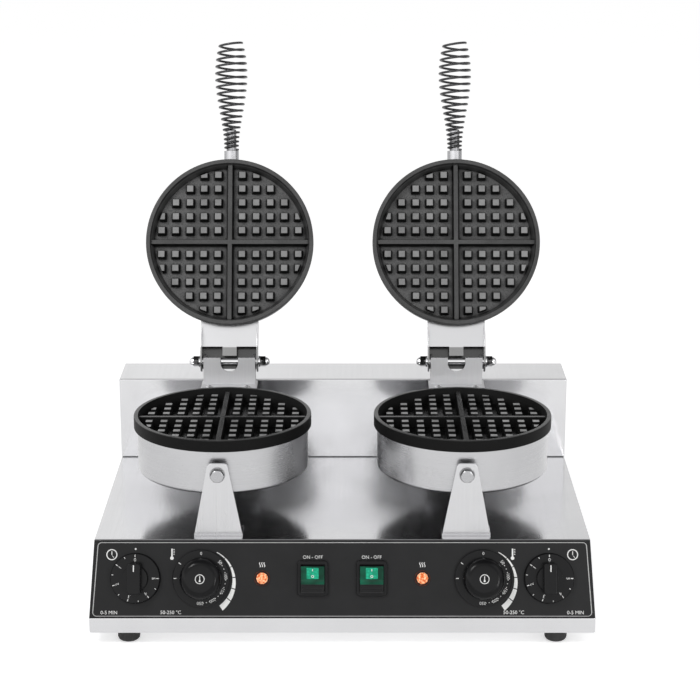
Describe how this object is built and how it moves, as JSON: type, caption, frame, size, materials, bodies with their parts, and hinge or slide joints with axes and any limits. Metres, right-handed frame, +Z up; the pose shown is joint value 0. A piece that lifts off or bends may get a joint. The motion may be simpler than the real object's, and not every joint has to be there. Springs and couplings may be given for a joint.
{
  "type": "waffle baker",
  "caption": "Countertop waffle baker with twin round deep-grid heads, hinged lids with coil-spring handles and a sloped control panel.",
  "frame": {"origin": "on the worktop, under the middle of the whole with its lids open", "axes": "+X to the operator's right, +Y from the control panel towards the rear, +Z up"},
  "size_m": [0.55, 0.4525, 0.6031],
  "materials": {
    "case_steel": "polished stainless sheet, mirror-like on the deck",
    "shell_steel": "stainless, brushed round the shell",
    "bracket_steel": "satin stainless",
    "grid_iron": "black non-stick coat, satin",
    "bright_metal": "bright plated",
    "panel_black": "satin black",
    "knob_black": "semi-gloss black",
    "black_plastic": "satin black",
    "terminal_white": "matte",
    "foot_rubber": "matte",
    "panel_print": "white screen print",
    "amber_lens": "clear tinted lens, lit",
    "green_lens": "clear tinted cap, lit",
    "heater_steel": "dull",
    "mineral_wool": "fibrous"
  },
  "bodies": {
    "frame": {"base_chassis": "case_steel", "bottom_plate": "case_steel", "rear_housing": "case_steel", "rear_cover": "case_steel", "control_panel": "panel_black", "feet": "foot_rubber", "foot_screws": "bright_metal", "case_screws": "bright_metal", "cable_gland": "black_plastic", "terminal_block": "terminal_white", "shell_bolts": "bright_metal", "shell_spacers": "bright_metal", "bracket_bolts": "bright_metal", "bracket_nuts": "bright_metal", "hinge_nuts": "bright_metal", "front_brackets": "bracket_steel", "rear_brackets": "bracket_steel", "thermostat_bulbs": "heater_steel", "lamp_bodies": "black_plastic", "lamp_lenses": "amber_lens", "lower_heaters": "heater_steel", "lower_insulation": "mineral_wool", "lower_plate_left": "grid_iron", "lower_shell_left": "shell_steel", "hinge_bracket_left": "bracket_steel", "hinge_pin_left": "bright_metal", "timer_body_left": "black_plastic", "thermostat_body_left": "black_plastic", "switch_housing_left": "black_plastic", "lower_plate_right": "grid_iron", "lower_shell_right": "shell_steel", "hinge_bracket_right": "bracket_steel", "hinge_pin_right": "bright_metal", "timer_body_right": "black_plastic", "thermostat_body_right": "black_plastic", "switch_housing_right": "black_plastic"},
    "lid_left": {"upper_plate_left": "grid_iron", "upper_shell_left": "shell_steel", "upper_heater_left": "heater_steel", "upper_insulation_left": "mineral_wool", "hinge_arm_left": "bracket_steel", "handle_rod_left": "bright_metal", "handle_spring_left": "bright_metal"},
    "timer_dial_left": {"timer_knob_left": "knob_black", "timer_shaft_left": "heater_steel"},
    "thermostat_dial_left": {"thermostat_knob_left": "knob_black", "thermostat_shaft_left": "heater_steel"},
    "rocker_left": {"switch_rocker_left": "green_lens"},
    "lid_right": {"upper_plate_right": "grid_iron", "upper_shell_right": "shell_steel", "upper_heater_right": "heater_steel", "upper_insulation_right": "mineral_wool", "hinge_arm_right": "bracket_steel", "handle_rod_right": "bright_metal", "handle_spring_right": "bright_metal"},
    "timer_dial_right": {"timer_knob_right": "knob_black", "timer_shaft_right": "heater_steel"},
    "thermostat_dial_right": {"thermostat_knob_right": "knob_black", "thermostat_shaft_right": "heater_steel"},
    "rocker_right": {"switch_rocker_right": "green_lens"}
  },
  "joints": [
    {"name": "lid_hinge_left", "type": "hinge", "parent": "frame", "child": "lid_left", "pos_m": [-0.1353, 0.07532, 0.23865], "axis": [1, 0, 0], "range_deg": [0, 112.75]},
    {"name": "timer_turn_left", "type": "hinge", "parent": "frame", "child": "timer_dial_left", "pos_m": [-0.2245, -0.19724, 0.07315], "axis": [0, -0.9397, 0.342], "range_deg": [-300, 0]},
    {"name": "thermostat_turn_left", "type": "hinge", "parent": "frame", "child": "thermostat_dial_left", "pos_m": [-0.153, -0.19724, 0.07315], "axis": [0, -0.9397, 0.342], "range_deg": [-270, 0]},
    {"name": "switch_rock_left", "type": "hinge", "parent": "frame", "child": "rocker_left", "pos_m": [-0.032, -0.19923, 0.07387], "axis": [1, 0, 0], "range_deg": [-16, 0]},
    {"name": "lid_hinge_right", "type": "hinge", "parent": "frame", "child": "lid_right", "pos_m": [0.1353, 0.07532, 0.23865], "axis": [1, 0, 0], "range_deg": [0, 112.75]},
    {"name": "timer_turn_right", "type": "hinge", "parent": "frame", "child": "timer_dial_right", "pos_m": [0.2245, -0.19724, 0.07315], "axis": [0, -0.9397, 0.342], "range_deg": [-300, 0]},
    {"name": "thermostat_turn_right", "type": "hinge", "parent": "frame", "child": "thermostat_dial_right", "pos_m": [0.153, -0.19724, 0.07315], "axis": [0, -0.9397, 0.342], "range_deg": [-270, 0]},
    {"name": "switch_rock_right", "type": "hinge", "parent": "frame", "child": "rocker_right", "pos_m": [0.032, -0.19923, 0.07387], "axis": [1, 0, 0], "range_deg": [-16, 0]}
  ]
}
